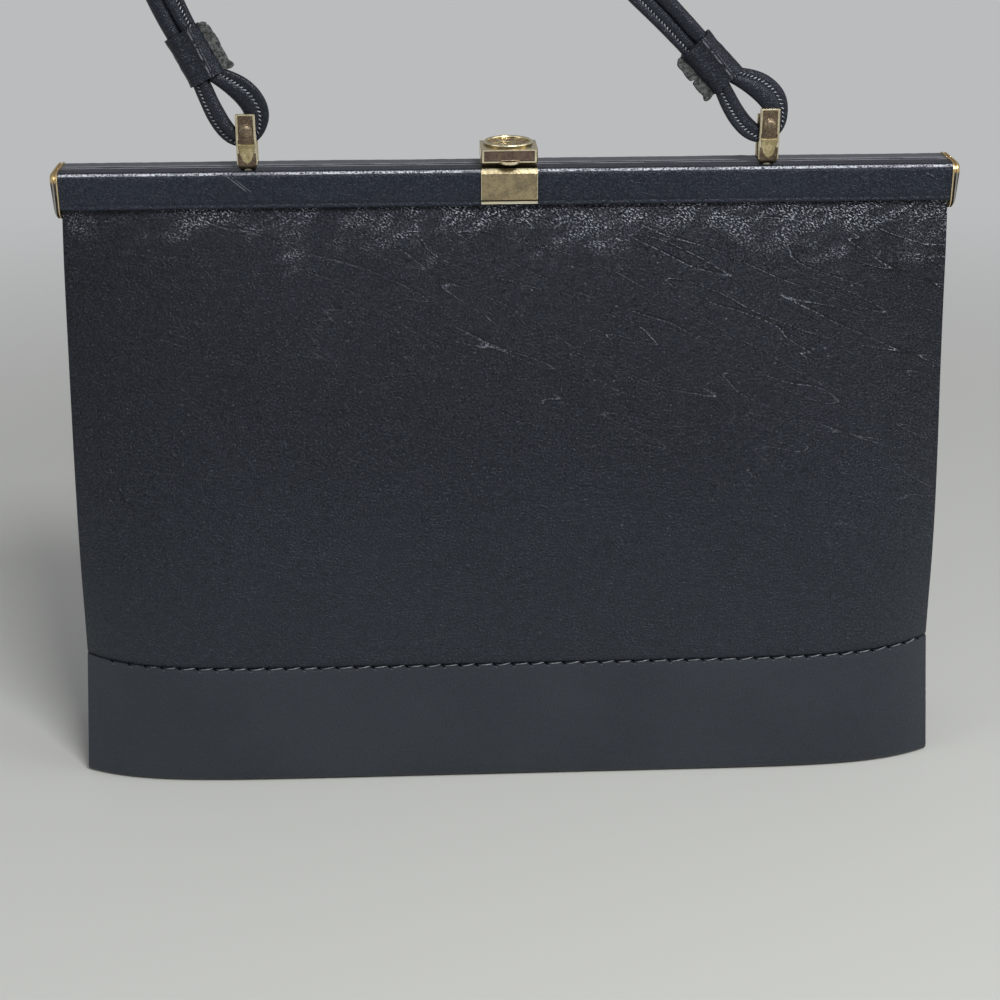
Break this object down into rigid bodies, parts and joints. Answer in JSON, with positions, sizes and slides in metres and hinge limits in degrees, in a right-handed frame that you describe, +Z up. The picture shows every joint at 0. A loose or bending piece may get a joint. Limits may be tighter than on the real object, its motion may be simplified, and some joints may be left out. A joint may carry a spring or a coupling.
{
  "type": "framed handbag",
  "caption": "Rigid black leather handbag with a covered hinged frame, lift-up brass clasp, swivelling brass bails and a doubled rolled-leather handle.",
  "frame": {"origin": "middle of the bag's underside, on the surface that it stands on", "axes": "+X to the right seen from the clasp side, +Y from the front to the back, +Z up"},
  "size_m": [0.2874, 0.066, 0.3209],
  "materials": {
    "body_leather": "black pigskin-grained leather with a low sheen, slightly scuffed",
    "band_leather": "black leather, smoother and a little paler, polished by wear",
    "gusset_leather": "thin soft black leather",
    "frame_leather": "black leather drawn tight over the frame, worn along its edge",
    "facing_leather": "smooth black leather facing",
    "handle_leather": "rolled black leather cord with a stitched ridge",
    "keeper_leather": "black leather band with a frayed grey edge",
    "board": "grey fibreboard",
    "lining": "black ribbed fabric",
    "brass": "gilt brass, worn",
    "clasp_brass": "aged brass with bright rubbed edges",
    "ring_brass": "polished gilt brass",
    "bail_brass": "aged brass, ground bright on its edges",
    "steel": "nickelled steel"
  },
  "bodies": {
    "bag": {"front_panel": "body_leather", "back_panel": "body_leather", "base_panel": "band_leather", "left_gusset": "gusset_leather", "right_gusset": "gusset_leather", "front_board": "board", "back_board": "board", "base_board": "board", "front_lining": "lining", "back_lining": "lining", "base_lining": "lining", "slip_pocket": "lining", "left_hinge_rivet": "brass", "right_hinge_rivet": "brass"},
    "front_frame": {"front_channel": "steel", "front_cover": "frame_leather", "front_facing": "facing_leather", "front_left_cap": "brass", "front_right_cap": "brass", "clasp_plate": "clasp_brass", "clasp_catch": "clasp_brass"},
    "back_frame": {"back_channel": "steel", "back_cover": "frame_leather", "back_facing": "facing_leather", "back_left_cap": "brass", "back_right_cap": "brass", "clasp_base": "clasp_brass", "clasp_pin": "steel", "clasp_spring": "steel"},
    "clasp_flap": {"clasp_flap": "clasp_brass", "clasp_ring": "ring_brass", "clasp_dish": "ring_brass"},
    "left_bail": {"left_bail": "bail_brass", "left_cross_rivet": "bail_brass"},
    "right_bail": {"right_bail": "bail_brass", "right_cross_rivet": "bail_brass"},
    "handle": {"left_loop": "handle_leather", "right_loop": "handle_leather", "inner_strand": "handle_leather", "outer_strand": "handle_leather", "left_keeper": "keeper_leather", "right_keeper": "keeper_leather"}
  },
  "joints": [
    {"name": "front_open", "type": "hinge", "parent": "bag", "child": "front_frame", "pos_m": [0, 0, 0.14], "axis": [1, 0, 0], "range_deg": [0, 35], "deforming": ["front_panel"]},
    {"name": "back_open", "type": "hinge", "parent": "bag", "child": "back_frame", "pos_m": [0, 0, 0.14], "axis": [1, 0, 0], "range_deg": [-35, 0], "deforming": ["back_panel"]},
    {"name": "flap_lift", "type": "hinge", "parent": "back_frame", "child": "clasp_flap", "pos_m": [0, 0.00695, 0.2053], "axis": [-1, 0, 0], "range_deg": [0, 80]},
    {"name": "left_bail_turn", "type": "hinge", "parent": "front_frame", "child": "left_bail", "pos_m": [-0.0805, -0.00432, 0.2023], "axis": [0, 0, 1], "range_deg": [-20, 20], "deforming": ["left_loop"]},
    {"name": "right_bail_turn", "type": "hinge", "parent": "front_frame", "child": "right_bail", "pos_m": [0.0805, -0.00432, 0.2023], "axis": [0, 0, 1], "range_deg": [-20, 20], "deforming": ["right_loop"]},
    {"name": "handle_swing", "type": "hinge", "parent": "front_frame", "child": "handle", "pos_m": [0, -0.00432, 0.2145], "axis": [1, 0, 0], "range_deg": [-110, 130], "deforming": ["left_loop", "right_loop"]}
  ],
  "couplings": [
    {"joint": "back_open", "follows": "front_open", "ratio": -1}
  ]
}
